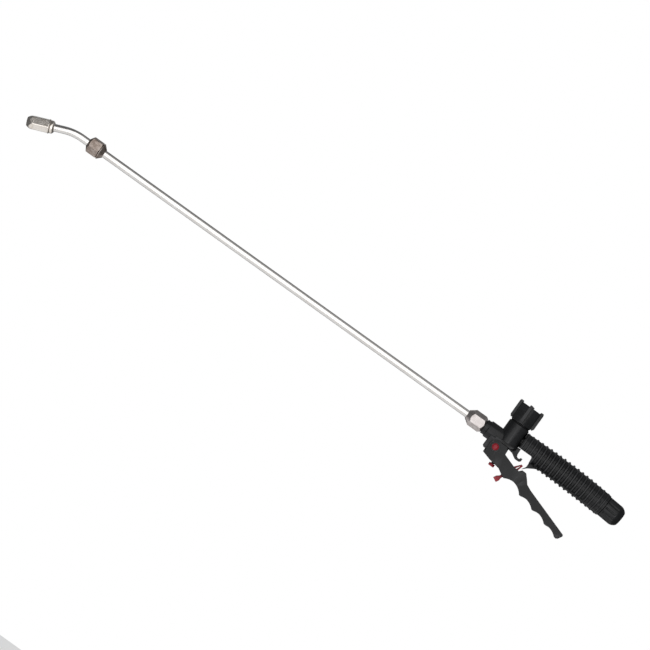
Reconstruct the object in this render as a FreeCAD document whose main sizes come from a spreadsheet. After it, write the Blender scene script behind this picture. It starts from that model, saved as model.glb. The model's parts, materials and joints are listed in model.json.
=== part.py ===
import FreeCAD, Part
import math
import os

import Sketcher

# Trigger-operated spray lance, in millimetres, as it is held in the hand.
# X runs along the lance from the nozzle (-X) to the hose (+X), Z is up, and
# Y = 0 is the plane of symmetry.  The origin is the middle of the hand grip.

DIMENSIONS = [
    # lance line and tube
    ("lance_drop", 9.8, "lance axis below the grip axis"),
    ("tube_radius", 5.0, "outer radius of lance and elbow tubes"),
    ("tube_wall", 0.8, "wall of the stainless tubes"),
    ("tube_length", 607.0, "lance tube, end to end"),
    ("tube_rear", 120.0, "rear end of the lance tube ahead of the grip centre"),
    ("fit_gap", 0.05, "radial clearance of a running fit"),
    ("free_gap", 0.3, "clearance between pieces that pass each other"),
    # union nuts
    ("nut_flats", 20.2, "across the flats of both union nuts"),
    ("nut_corner", 11.6, "corner radius of both union nuts"),
    ("nut_mouth_radius", 9.4, "radius at the open end"),
    ("nut_taper_radius", 6.0, "radius at the small end"),
    ("lance_nut_rear", 117.6, "open end of the lance nut ahead of the grip centre"),
    ("lance_nut_taper", 7.7, "long taper of the lance nut"),
    ("lance_nut_hex", 15.3, "hexagon of the lance nut"),
    ("lance_nut_chamfer", 2.8, "chamfer of the lance nut at its open end"),
    ("lance_nut_shoulder", 8.6, "small end to inner shoulder, lance nut"),
    ("lance_nut_turn", 30.0, "hexagon of the lance nut turned on its axis, degrees"),
    ("elbow_nut_rear", 721.6, "open end of the elbow nut ahead of the grip centre"),
    ("elbow_nut_taper", 3.6, "short taper of the elbow nut"),
    ("elbow_nut_hex", 13.6, "hexagon of the elbow nut"),
    ("elbow_nut_chamfer", 1.0, "chamfer of the elbow nut at its open end"),
    ("elbow_nut_shoulder", 6.6, "small end to inner shoulder, elbow nut"),
    ("elbow_nut_turn", 14.0, "hexagon of the elbow nut turned on its axis, degrees"),
    ("thread_pitch", 1.8, "pitch of the union threads"),
    ("thread_depth", 0.7, "depth of the union threads"),
    ("ferrule_radius", 7.4, "outer radius of the ferrules on the tube"),
    ("ferrule_length", 3.9, "length of the ferrules"),
    ("seal_thickness", 1.5, "flat sealing washers"),
    # elbow
    ("elbow_thread_radius", 8.4, "male thread of the lance fitting"),
    ("fitting_collar_radius", 11.2, "wide end of the fitting's tapered collar"),
    ("fitting_small_radius", 5.8, "small end of that collar"),
    ("fitting_collar_length", 6.4, "tapered collar of the lance fitting"),
    ("elbow_straight", 20.1, "straight tube behind the bend"),
    ("elbow_bend_radius", 66.5, "centre line radius of the bend"),
    ("elbow_angle", 22.0, "turn of the elbow, degrees"),
    ("elbow_tail", 20.2, "straight tube after the bend"),
    # nozzle, measured along its own axis from the end of the elbow tube
    ("nozzle_socket", 7.0, "tube inside the nozzle body"),
    ("nozzle_body_length", 28.8, "nozzle body, end to end"),
    ("nozzle_rear_radius", 6.4, "radius at the rear of the nozzle body"),
    ("nozzle_collar_radius", 8.4, "collar of the nozzle body"),
    ("nozzle_collar_length", 3.2, "length of the collar"),
    ("nozzle_thread_radius", 7.0, "male thread that carries the nozzle cap"),
    ("nozzle_cap_radius", 9.3, "largest radius of the nozzle cap"),
    ("nozzle_cap_flat", 8.25, "axis to the flats of the nozzle cap"),
    ("nozzle_cap_flats", 6, "flats round the nozzle cap"),
    ("nozzle_cap_turn", 11.0, "how far the cap is turned, degrees"),
    ("nozzle_cap_length", 30.4, "nozzle cap, end to end"),
    ("nozzle_nose_radius", 5.6, "radius of the nozzle cap at its nose"),
    ("nozzle_nose_length", 9.0, "length of the rounded nose"),
    ("nozzle_mouth_radius", 3.6, "spray opening of the cap"),
    ("orifice_radius", 0.6, "hole in the orifice disc"),
    ("orifice_thickness", 2.0, "thickness of the orifice disc"),
    ("orifice_disc_radius", 5.6, "outer radius of the orifice disc"),
    ("swirl_radius", 4.0, "swirl core"),
    ("swirl_length", 5.0, "swirl core"),
    ("strainer_radius", 3.0, "nozzle strainer"),
    ("strainer_length", 9.0, "nozzle strainer"),
    ("nozzle_bore", 4.1, "chamber bored in the nozzle body"),
    # valve body, measured from the valve axis
    ("valve_ahead", 80.6, "valve axis ahead of the grip centre"),
    ("tower_radius", 14.7, "outer radius of the valve tower"),
    ("tower_top", 17.5, "top of the tower above the grip axis"),
    ("tower_bottom", 14.4, "bottom of the tower below the grip axis"),
    ("tower_flat", 10.6, "middle plane to the flats beside the trigger ears"),
    ("tower_ledge", 10.8, "top of those flats below the grip axis"),
    ("chamber_radius", 9.5, "valve chamber"),
    ("seat_level", 3.5, "valve seat below the grip axis"),
    ("seat_radius", 3.2, "hole through the valve seat"),
    ("passage_bottom", 13.6, "bottom of the outlet passage below the grip axis"),
    ("barrel_radius", 11.6, "front barrel of the valve body"),
    ("barrel_front", 31.4, "front face of the barrel ahead of the valve axis"),
    ("neck_radius", 8.7, "male threaded neck"),
    ("neck_front", 48.6, "front of the neck ahead of the valve axis"),
    ("neck_thread_count", 6, "thread crests on the neck"),
    ("neck_collar_radius", 10.0, "plain collar behind the neck"),
    ("neck_collar_length", 4.6, "length of that collar"),
    ("moulded_edge", 0.8, "small chamfer of the moulded edges"),
    ("tube_seat", 38.4, "end of the tube socket ahead of the valve axis"),
    ("lug_front", 23.3, "front of the pivot lug ahead of the valve axis"),
    ("lug_back", 6.2, "back of the pivot lug ahead of the valve axis"),
    ("lug_bottom", 32.1, "bottom of the lug below the grip axis"),
    ("lug_width", 21.2, "width of the pivot lug"),
    ("boss_radius", 6.6, "gland boss under the tower"),
    ("boss_bottom", 21.0, "bottom of the gland boss below the grip axis"),
    ("gland_pocket_radius", 4.0, "pocket for the stem seal and gland"),
    ("gland_pocket_top", 15.0, "top of the pocket below the grip axis"),
    ("inlet_rise", 2.0, "inlet spigot axis above the grip axis"),
    ("inlet_bore", 3.0, "radius of the inlet bore"),
    ("spigot_radius", 7.0, "rear spigot that plugs into the grip"),
    ("spigot_rear", 29.0, "rear end of the spigot behind the valve axis"),
    ("hook_width", 4.0, "thickness of the lock hook"),
    # valve parts
    ("stem_radius", 1.5, "valve stem"),
    ("stem_foot", 36.0, "bottom of the stem below the grip axis"),
    ("washer_radius", 6.0, "valve washer"),
    ("washer_thickness", 2.0, "valve washer"),
    ("plunger_radius", 6.6, "plunger flange"),
    ("plunger_flange", 3.0, "thickness of the plunger flange"),
    ("plunger_guide_radius", 2.9, "guide that centres the spring"),
    ("plunger_guide_length", 9.0, "guide above the flange"),
    ("spring_radius", 3.9, "mean radius of the valve spring"),
    ("spring_wire", 0.55, "radius of the spring wire"),
    ("spring_pitch", 3.2, "pitch of the valve spring"),
    ("spring_top", 31.0, "top of the spring pocket above the grip axis"),
    ("gland_flange_radius", 5.6, "gland flange"),
    ("gland_flange", 1.6, "thickness of the gland flange"),
    # valve cap
    ("cap_radius", 14.4, "outer radius of the cap wall"),
    ("cap_bottom", 19.0, "underside of the cap above the grip axis"),
    ("cap_rim", 44.0, "rim of the cap above the grip axis"),
    ("cap_recess_radius", 11.6, "recess in the top of the cap"),
    ("cap_recess_depth", 6.0, "depth of that recess"),
    ("cap_boss_radius", 9.4, "threaded boss that closes the chamber"),
    ("cap_boss_length", 11.0, "length of the boss"),
    ("cap_pocket_radius", 5.2, "spring pocket in the cap"),
    ("cap_rib_reach", 18.1, "outer face of the cap ribs from the axis"),
    ("cap_rib_width", 4.0, "width of a cap rib"),
    ("cap_prong_height", 2.4, "prong above the rim"),
    ("cap_rib_count", 4, "ribs round the cap"),
    ("cap_turn", -8.5, "how far the cap is screwed round, degrees"),
    ("cap_seal_inner", 9.8, "inner radius of the cap seal"),
    ("cap_seal_outer", 13.2, "outer radius of the cap seal"),
    # trigger, measured from its pivot
    ("pivot_ahead", 90.9, "trigger pivot ahead of the grip centre"),
    ("pivot_drop", 23.2, "trigger pivot below the grip axis"),
    ("pin_radius", 2.5, "trigger pin"),
    ("pin_head_radius", 4.5, "head of the trigger pin"),
    ("pin_head_height", 1.8, "height of the pin head"),
    ("cheek_inner", 11.0, "inside of a trigger cheek from the middle plane"),
    ("cheek_thickness", 2.2, "trigger cheek"),
    ("web_thickness", 2.4, "trigger web under the fingers"),
    ("ear_radius", 8.3, "round ear of the trigger about its pin"),
    ("boss_ring_radius", 6.4, "raised ring round the pin"),
    ("boss_ring_height", 0.9, "height of that ring"),
    ("finger_pitch", 23.7, "pitch of the finger scallops"),
    ("finger_drop", 5.85, "fall of the finger edge per scallop"),
    ("finger_start", 62.7, "first finger crest behind the pivot"),
    ("finger_level", 32.8, "first finger crest below the pivot"),
    ("finger_radius", 23.0, "radius of a finger scallop"),
    ("screw_shank", 2.0, "adjuster screw in the trigger web"),
    ("screw_head", 4.1, "red head of the adjuster screw"),
    ("screw_foot", 46.8, "bottom of the screw head below the grip axis"),
    ("screw_head_height", 4.8, "height of the screw head"),
    ("screw_pad_radius", 4.2, "pad that pushes the stem"),
    ("screw_pad_height", 1.8, "height of the pad"),
    ("screw_gap", 0.15, "play between pad and stem at rest"),
    # lock lever, measured from its own pivot
    ("lock_ahead", 56.3, "lock pivot ahead of the grip centre"),
    ("lock_drop", 38.6, "lock pivot below the grip axis"),
    ("lock_lean", 27.5, "lean of the lock lever from the vertical, degrees"),
    ("lock_pin_radius", 1.5, "lock pin"),
    ("lock_pin_seat", 1.2, "depth of the pin's blind seat in each cheek"),
    ("lock_arm", 3.2, "width of the lock arm"),
    ("lock_loop_width", 7.2, "width of the loop at the top"),
    ("lock_loop_slot", 2.2, "slot in the loop"),
    ("lock_loop_start", 6.5, "loop above the lock pivot"),
    ("lock_top", 18.0, "top of the loop above the lock pivot"),
    ("lock_top_width", 2.0, "width of the loop at its top"),
    ("lock_tab_bottom", 21.8, "bottom of the tab below the lock pivot"),
    ("lock_tab_width", 6.4, "width of the tab"),
    ("lock_width", 10.0, "width of the lock lever across the trigger"),
    ("lock_gap", 5.8, "gap between the two arms of the lock"),
    ("lock_bar", 2.6, "height of the bar that drops into the hook"),
    # grip
    ("grip_front", 65.3, "front end of the grip ahead of its centre"),
    ("grip_bend_start", 28.2, "where the grip starts to curve, ahead of its centre"),
    ("grip_bend_radius", 1230.0, "radius of the grip centre line"),
    ("grip_bend_angle", 4.42, "turn of the grip centre line, degrees"),
    ("grip_core_radius", 15.3, "grip at the bottom of its grooves"),
    ("grip_rib_radius", 17.0, "crest radius of the middle ribs"),
    ("grip_rib_fall", 0.00028, "fall of the crest radius away from the middle"),
    ("grip_rib_pitch", 7.0, "pitch of the ribs"),
    ("grip_rib_count", 19, "ribs on the grip"),
    ("grip_first_rib", 63.4, "first rib ahead of the grip centre"),
    ("grip_rib_crest", 1.6, "width of a rib crest"),
    ("grip_rib_base", 6.6, "width of a rib at its base"),
    ("grip_flank_radius", 4.5, "hollow radius of the rib flanks"),
    ("grip_bore_front", 4.0, "bore behind the spigot socket"),
    ("filter_bore", 7.8, "filter chamber in the grip"),
    ("window_front", 67.0, "front of the window ahead of the grip centre"),
    ("window_back", 42.6, "back of the window ahead of the grip centre"),
    ("window_top", 6.5, "top of the window below the grip axis"),
    ("window_corner", 1.6, "chamfer in the corner of the window"),
    ("fin_width", 5.0, "thickness of the guard fin"),
    # hose end, measured from the end of the grip
    ("end_neck_radius", 11.2, "threaded neck at the end of the grip"),
    ("end_neck_length", 9.0, "length of that neck"),
    ("hose_nut_radius", 14.3, "hose nut"),
    ("hose_nut_length", 27.4, "hose nut, end to end"),
    ("hose_nut_round", 9.5, "rounded rear part of the hose nut"),
    ("hose_nut_face", 9.6, "radius of the flat rear face"),
    ("hose_hole", 6.75, "hose entry"),
    ("hose_relief", 7.6, "wider bore round the barbs"),
    ("hose_lip", 7.6, "length of the hose entry"),
    ("hose_flute_count", 12, "flutes round the hose nut"),
    ("hose_flute_radius", 2.2, "radius of a flute"),
    ("hose_flute_length", 16.0, "length of a flute"),
    ("hose_flute_start", 2.4, "front end of the flutes behind the end of the grip"),
    ("spigot_flange_radius", 10.9, "flange of the hose spigot"),
    ("spigot_flange", 2.0, "thickness of that flange"),
    ("barb_radius", 4.6, "barbs of the hose spigot"),
    ("barb_root", 4.0, "hose spigot between its barbs"),
    ("barb_length", 7.2, "barbed length"),
    ("barb_bore", 2.6, "bore of the hose spigot"),
    # filter
    ("filter_radius", 6.2, "filter cage"),
    ("filter_length", 50.0, "filter cage"),
    ("filter_mesh", 5.4, "outer radius of the filter mesh"),
    ("filter_mesh_wall", 0.5, "thickness of the mesh sleeve"),
    ("filter_collar", 7.6, "collar that seals the filter"),
]


# A cut this long passes right through any piece.
THROUGH = 80.0


class Size:
    """A length that knows its number and the sheet expression behind it."""

    def __init__(self, number, text):
        self.number = number
        self.text = text

    def __add__(self, other):
        other = as_size(other)
        return Size(self.number + other.number, f"({self.text} + {other.text})")

    def __sub__(self, other):
        other = as_size(other)
        return Size(self.number - other.number, f"({self.text} - {other.text})")

    def __mul__(self, other):
        other = as_size(other)
        return Size(self.number * other.number, f"({self.text} * {other.text})")

    def __truediv__(self, other):
        other = as_size(other)
        return Size(self.number / other.number, f"({self.text} / {other.text})")

    def __neg__(self):
        return Size(-self.number, f"(0 - {self.text})")

    def __rsub__(self, other):
        return as_size(other) - self

    __radd__ = __add__
    __rmul__ = __mul__


def as_size(value):
    if isinstance(value, Size):
        return value
    return Size(float(value), f"({float(value):.6f})")


class Dims:
    """The driving dimensions, read by alias."""

    def __init__(self, doc):
        self.numbers = {}
        sheet = doc.addObject("Spreadsheet::Sheet", "dims")
        for row, (alias, number, note) in enumerate(DIMENSIONS, start=1):
            sheet.set(f"A{row}", alias)
            sheet.set(f"B{row}", str(number))
            sheet.set(f"C{row}", note)
            sheet.setAlias(f"B{row}", alias)
            self.numbers[alias] = number
        doc.recompute()

    def __getattr__(self, alias):
        return Size(self.numbers[alias], "dims." + alias)


doc = FreeCAD.newDocument("spray_lance")
dims = Dims(doc)
sub_parts = []


# ---------------------------------------------------------------- helpers

def bind(thing, path, value):
    """Drive one property from the sheet."""
    if isinstance(value, Size):
        thing.setExpression(path, value.text)


def place(thing, at=(0, 0, 0), tilt=0, about=(0, -1, 0)):
    """Put a sub-part in the frame, turned about -Y unless told otherwise."""
    numbers = [as_size(value).number for value in at]
    turn = FreeCAD.Rotation(FreeCAD.Vector(*about), as_size(tilt).number)
    thing.Placement = FreeCAD.Placement(FreeCAD.Vector(*numbers), turn)
    for letter, value in zip("xyz", at):
        bind(thing, f"Placement.Base.{letter}", value)
    bind(thing, "Placement.Rotation.Angle", tilt)


def new_body(label, at=(0, 0, 0), tilt=0, about=(0, -1, 0)):
    body = doc.addObject("PartDesign::Body", label)
    body.Label = label
    place(body, at, tilt, about)
    sub_parts.append(body)
    return body


def origin_feature(body, role):
    return next(item for item in body.Origin.OriginFeatures if item.Role == role)


def new_sketch(body, role="XZ_Plane", shift=(0, 0), along=0, turn=0):
    """A sketch on one of the body's own planes, moved within it."""
    sketch = body.newObject("Sketcher::SketchObject", body.Label + "_sketch")
    sketch.AttachmentSupport = [(origin_feature(body, role), "")]
    sketch.MapMode = "FlatFace"
    offsets = (shift[0], shift[1], along)
    base = FreeCAD.Vector(*[as_size(value).number for value in offsets])
    spin = FreeCAD.Rotation(FreeCAD.Vector(0, 0, 1), as_size(turn).number)
    sketch.AttachmentOffset = FreeCAD.Placement(base, spin)
    for letter, value in zip("xyz", offsets):
        bind(sketch, f"AttachmentOffset.Base.{letter}", value)
    return sketch


def fix_point(sketch, geometry, vertex, point):
    """Dimension one vertex of the sketch from its origin."""
    for kind, value in zip(("DistanceX", "DistanceY"), point):
        size = as_size(value)
        index = sketch.addConstraint(
            Sketcher.Constraint(kind, -1, 1, geometry, vertex, size.number))
        bind(sketch, f"Constraints[{index}]", value)


def arc_between(start, end, radius):
    """Arc from start to end: centre on the left for a positive radius."""
    chord = end - start
    half = chord.Length / 2
    rise = math.sqrt(radius * radius - half * half)
    left = FreeCAD.Vector(-chord.y, chord.x, 0).normalize()
    centre = (start + end) / 2 + left * math.copysign(rise, radius)
    first, last = (start, end) if radius > 0 else (end, start)
    begin = math.atan2(first.y - centre.y, first.x - centre.x)
    finish = math.atan2(last.y - centre.y, last.x - centre.x)
    if finish < begin:
        finish += 2 * math.pi
    circle = Part.Circle(centre, FreeCAD.Vector(0, 0, 1), abs(radius))
    return Part.ArcOfCircle(circle, begin, finish)


def draw_outline(sketch, points, closed=True):
    """Draw a dimensioned outline.

    A point is (x, y), or (x, y, radius) where the edge to the next point is
    an arc, with its centre on the left for a positive radius.
    """
    spots = [FreeCAD.Vector(as_size(p[0]).number, as_size(p[1]).number, 0) for p in points]
    edge_count = len(points) if closed else len(points) - 1
    ends = []
    for index in range(edge_count):
        point = points[index]
        start = spots[index]
        end = spots[(index + 1) % len(points)]
        if len(point) == 3:
            radius = as_size(point[2]).number
            edge = sketch.addGeometry(arc_between(start, end, radius), False)
            limit = sketch.addConstraint(Sketcher.Constraint("Radius", edge, abs(radius)))
            bind(sketch, f"Constraints[{limit}]", as_size(point[2]) if radius > 0 else -as_size(point[2]))
            ends.append((edge, 1, 2) if radius > 0 else (edge, 2, 1))
        else:
            edge = sketch.addGeometry(Part.LineSegment(start, end), False)
            ends.append((edge, 1, 2))
    for index in range(edge_count - (0 if closed else 1)):
        edge, _, last = ends[index]
        following, first, _ = ends[(index + 1) % edge_count]
        sketch.addConstraint(Sketcher.Constraint("Coincident", edge, last, following, first))
    for index, point in enumerate(points):
        if index < edge_count:
            edge, first, _ = ends[index]
            fix_point(sketch, edge, first, point)
        else:
            edge, _, last = ends[index - 1]
            fix_point(sketch, edge, last, point)


def draw_circle(sketch, radius, centre=(0, 0)):
    middle = FreeCAD.Vector(as_size(centre[0]).number, as_size(centre[1]).number, 0)
    circle = Part.Circle(middle, FreeCAD.Vector(0, 0, 1), as_size(radius).number)
    edge = sketch.addGeometry(circle, False)
    index = sketch.addConstraint(Sketcher.Constraint("Radius", edge, as_size(radius).number))
    bind(sketch, f"Constraints[{index}]", radius)
    fix_point(sketch, edge, 3, centre)


def volume_now(body):
    doc.recompute()
    return 0.0 if body.Shape.isNull() else body.Shape.Volume


def finish_feature(body, feature, before, cut):
    """A cut has to take material away, and an addition has to add some."""
    after = volume_now(body)
    changed = before - after if cut else after - before
    if changed <= 0:
        raise ValueError(f"{feature.Name} of {body.Label} changes nothing")
    return feature


def turned(body, points, axis="H_Axis", cut=False, shift=(0, 0), turn=0):
    """Revolve an outline drawn in the XZ plane about the sketch's own axis."""
    before = volume_now(body)
    sketch = new_sketch(body, "XZ_Plane", shift, turn=turn)
    draw_outline(sketch, points)
    kind = "PartDesign::Groove" if cut else "PartDesign::Revolution"
    feature = body.newObject(kind, body.Label + ("_groove" if cut else "_turned"))
    feature.Profile = sketch
    feature.ReferenceAxis = (sketch, [axis])
    feature.Angle = 360
    return finish_feature(body, feature, before, cut)


def extruded(body, draw, length, role="XZ_Plane", cut=False, middle=True,
             shift=(0, 0), along=0, turn=0, reverse=False):
    """Pad or pocket whatever draw(sketch) draws."""
    before = volume_now(body)
    sketch = new_sketch(body, role, shift, along, turn)
    draw(sketch)
    kind = "PartDesign::Pocket" if cut else "PartDesign::Pad"
    feature = body.newObject(kind, body.Label + ("_pocket" if cut else "_pad"))
    feature.Profile = sketch
    feature.SideType = "Symmetric" if middle else "One side"
    feature.Length = as_size(length).number
    feature.Reversed = reverse
    bind(feature, "Length", length)
    return finish_feature(body, feature, before, cut)


def repeated(body, feature, axis_role, count):
    """Repeat a feature evenly round one of the body's axes."""
    pattern = body.newObject("PartDesign::PolarPattern", body.Label + "_pattern")
    pattern.Originals = [feature]
    pattern.Axis = (origin_feature(body, axis_role), [""])
    pattern.Angle = 360
    pattern.Occurrences = int(as_size(count).number)
    bind(pattern, "Occurrences", count)
    body.Tip = pattern
    doc.recompute()
    return pattern


def piped(body, path, radius, along, cut=False, height=0):
    """Sweep a circle, standing across X at 'along', down an open outline."""
    before = volume_now(body)
    spine = new_sketch(body, "XZ_Plane")
    draw_outline(spine, path, closed=False)
    section = new_sketch(body, "YZ_Plane", shift=(0, height), along=along)
    draw_circle(section, radius)
    kind = "PartDesign::SubtractivePipe" if cut else "PartDesign::AdditivePipe"
    feature = body.newObject(kind, body.Label + ("_bore" if cut else "_pipe"))
    feature.Profile = section
    feature.Spine = spine
    return finish_feature(body, feature, before, cut)


def ring_outline(start, end, inner, outer):
    return [(start, inner), (end, inner), (end, outer), (start, outer)]


def ring_along_x(label, start, end, inner, outer, at=(0, 0, 0), tilt=0):
    body = new_body(label, at, tilt)
    turned(body, ring_outline(start, end, inner, outer))
    return body


def ring_along_z(label, bottom, top, inner, outer, at=(0, 0, 0)):
    body = new_body(label, at)
    turned(body, [(inner, bottom), (outer, bottom), (outer, top), (inner, top)], "V_Axis")
    return body


def thread_outline(start, count, radius):
    """Points of a row of thread crests that runs towards +X."""
    points = []
    for index in range(count):
        root = start + dims.thread_pitch * index
        points.append((root, radius - dims.thread_depth))
        points.append((root + dims.thread_pitch * 0.35, radius))
        points.append((root + dims.thread_pitch * 0.65, radius))
    points.append((start + dims.thread_pitch * count, radius - dims.thread_depth))
    return points


# ------------------------------------------------------------- lance tube

def lance_tube():
    body = new_body("lance_tube", (0, 0, -dims.lance_drop))
    front = -dims.tube_rear - dims.tube_length
    inner = dims.tube_radius - dims.tube_wall
    turned(body, ring_outline(front, -dims.tube_rear, inner, dims.tube_radius))


def union_nut(label, rear, taper, hexagon, chamfer, shoulder, inside, turn):
    """Hexagonal union nut: small end in front, open threaded end at 'rear'."""
    mouth = taper + hexagon + chamfer
    body = new_body(label, (rear - mouth, 0, -dims.lance_drop))
    clear = dims.tube_radius + dims.fit_gap
    turned(body, [
        (0, clear), (shoulder, clear), (shoulder, inside), (mouth, inside),
        (mouth, dims.nut_mouth_radius), (taper + hexagon, dims.nut_corner),
        (taper, dims.nut_corner), (0, dims.nut_taper_radius)])
    flat = dims.nut_flats / 2

    def side(sketch):
        reach = dims.nut_corner + 1
        draw_outline(sketch, [(-reach, flat), (reach, flat), (reach, reach), (-reach, reach)])

    cut = extruded(body, side, mouth, "YZ_Plane", cut=True, middle=False, turn=turn, reverse=True)
    repeated(body, cut, "X_Axis", 6)
    return rear - mouth + shoulder


def lance_ring(label, front, length, inner, outer):
    ring_along_x(label, front, front + length, inner, outer, (0, 0, -dims.lance_drop))
    return front + length


def lance_joint():
    """Nut, ferrule and washer that hold the lance tube on the valve body."""
    shoulder = union_nut("lance_nut", -dims.lance_nut_rear, dims.lance_nut_taper,
                         dims.lance_nut_hex, dims.lance_nut_chamfer, dims.lance_nut_shoulder,
                         dims.neck_radius + dims.fit_gap, dims.lance_nut_turn)
    face = lance_ring("lance_ferrule", shoulder, dims.ferrule_length, dims.tube_radius,
                      dims.ferrule_radius)
    neck_face = -dims.valve_ahead - dims.neck_front
    lance_ring("lance_seal", face, neck_face - face, dims.tube_radius + dims.fit_gap,
               dims.ferrule_radius)


def elbow_joint():
    """Nut, ferrule, washer and fitting between the elbow and the lance tube."""
    shoulder = union_nut("elbow_nut", -dims.elbow_nut_rear, dims.elbow_nut_taper,
                         dims.elbow_nut_hex, dims.elbow_nut_chamfer, dims.elbow_nut_shoulder,
                         dims.elbow_thread_radius + dims.fit_gap, dims.elbow_nut_turn)
    face = lance_ring("elbow_ferrule", shoulder, dims.ferrule_length, dims.tube_radius,
                      dims.ferrule_radius)
    fitting_front = lance_ring("elbow_seal", face, dims.seal_thickness,
                               dims.tube_radius - dims.tube_wall, dims.ferrule_radius)
    collar_front = -dims.elbow_nut_rear + dims.free_gap
    fitting = new_body("lance_fitting", (0, 0, -dims.lance_drop))
    tube_front = -dims.tube_rear - dims.tube_length
    bore = dims.tube_radius - dims.tube_wall
    collar_rear = collar_front + dims.fitting_collar_length
    turned(fitting, [
        (fitting_front, bore), (tube_front, bore), (tube_front, dims.tube_radius),
        (collar_rear, dims.tube_radius), (collar_rear, dims.fitting_small_radius),
        (collar_front + 1, dims.fitting_collar_radius), (collar_front, dims.fitting_collar_radius),
        (collar_front, dims.elbow_thread_radius), (fitting_front, dims.elbow_thread_radius)])
    return face


# ------------------------------------------------------------------ elbow

def elbow_tube(rear):
    """Stainless tube that bends down towards the trigger side."""
    body = new_body("elbow_tube", (rear, 0, -dims.lance_drop))
    angle = math.radians(dims.elbow_angle.number)
    straight = dims.elbow_straight
    bend_x = -straight - dims.elbow_bend_radius * math.sin(angle)
    bend_z = -dims.elbow_bend_radius * (1 - math.cos(angle))
    tip_x = bend_x - dims.elbow_tail * math.cos(angle)
    tip_z = bend_z - dims.elbow_tail * math.sin(angle)
    path = [(0, 0), (-straight, 0, dims.elbow_bend_radius), (bend_x, bend_z), (tip_x, tip_z)]
    piped(body, path, dims.tube_radius, 0)
    piped(body, path, dims.tube_radius - dims.tube_wall, 0, cut=True)
    return (rear + tip_x, 0, tip_z - dims.lance_drop)


# ----------------------------------------------------------------- nozzle
# The nozzle's own +X runs from its nose back into the elbow tube.

def nozzle_body(at):
    body = new_body("nozzle_body", at, dims.elbow_angle)
    rear = dims.nozzle_socket
    front = rear - dims.nozzle_body_length
    collar_rear = rear - 2
    collar_front = collar_rear - dims.nozzle_collar_length
    socket = dims.tube_radius
    turned(body, [
        (rear, socket), (rear, dims.nozzle_rear_radius), (collar_rear, dims.nozzle_collar_radius),
        (collar_front, dims.nozzle_collar_radius), (collar_front, dims.nozzle_thread_radius),
        (front, dims.nozzle_thread_radius), (front, dims.nozzle_bore), (-1, dims.nozzle_bore),
        (0, dims.tube_radius - dims.tube_wall), (0, socket)])
    return front


def nozzle_cap(at, body_front):
    """Cap that is turned to change the spray, with flats for the fingers."""
    body = new_body("nozzle_cap", at, dims.elbow_angle)
    rear = dims.nozzle_socket - 2 - dims.nozzle_collar_length - dims.free_gap
    front = rear - dims.nozzle_cap_length
    wall_rear = body_front - dims.orifice_thickness - dims.seal_thickness
    inner = dims.nozzle_thread_radius + dims.fit_gap
    turned(body, [
        (rear, inner), (rear, dims.nozzle_cap_radius - 1), (rear - 1, dims.nozzle_cap_radius),
        (front + dims.nozzle_nose_length, dims.nozzle_cap_radius, 16.0),
        (front, dims.nozzle_nose_radius), (front, dims.nozzle_mouth_radius + 0.8),
        (wall_rear - 1.2, dims.nozzle_mouth_radius), (wall_rear, dims.nozzle_mouth_radius),
        (wall_rear, inner)])

    def flat(sketch):
        reach = dims.nozzle_cap_radius + 1
        low = dims.nozzle_cap_flat
        draw_outline(sketch, [(-reach, low), (reach, low), (reach, reach), (-reach, reach)])

    cut = extruded(body, flat, dims.nozzle_cap_length - 2, "YZ_Plane", cut=True, middle=False,
                   along=rear - 2, turn=dims.nozzle_cap_turn)
    repeated(body, cut, "X_Axis", dims.nozzle_cap_flats)


def nozzle_inside(at, body_front):
    """Orifice disc, gasket, swirl core and strainer, from the nose inwards."""
    tilt = dims.elbow_angle
    disc_rear = body_front - dims.seal_thickness
    ring_along_x("nozzle_gasket", disc_rear, body_front, dims.nozzle_bore,
                 dims.nozzle_thread_radius - dims.free_gap, at, tilt)
    ring_along_x("orifice_disc", disc_rear - dims.orifice_thickness, disc_rear,
                 dims.orifice_radius, dims.nozzle_thread_radius - dims.free_gap, at, tilt)
    swirl = ring_along_x("swirl_core", body_front, body_front + dims.swirl_length,
                         dims.orifice_radius * 2, dims.swirl_radius, at, tilt)

    def slot(sketch):
        reach = dims.swirl_radius + 1
        draw_outline(sketch, [(-0.5, dims.swirl_radius - 1.2), (0.5, dims.swirl_radius - 1.2),
                              (0.5, reach), (-0.5, reach)])

    cut = extruded(swirl, slot, dims.swirl_length + 1, "YZ_Plane", cut=True, middle=False,
                   along=body_front + dims.swirl_length, reverse=False)
    repeated(swirl, cut, "X_Axis", 4)
    back = body_front + dims.swirl_length
    strainer = new_body("nozzle_strainer", at, tilt)
    turned(strainer, [
        (back, 1.2), (back, dims.swirl_radius), (back + 1.2, dims.swirl_radius),
        (back + 1.2, dims.strainer_radius), (back + dims.strainer_length, dims.strainer_radius - 1),
        (back + dims.strainer_length, 0), (back + dims.strainer_length - 1, 0),
        (back + dims.strainer_length - 1, 1.2)])


# ------------------------------------------------------------- valve body

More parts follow.
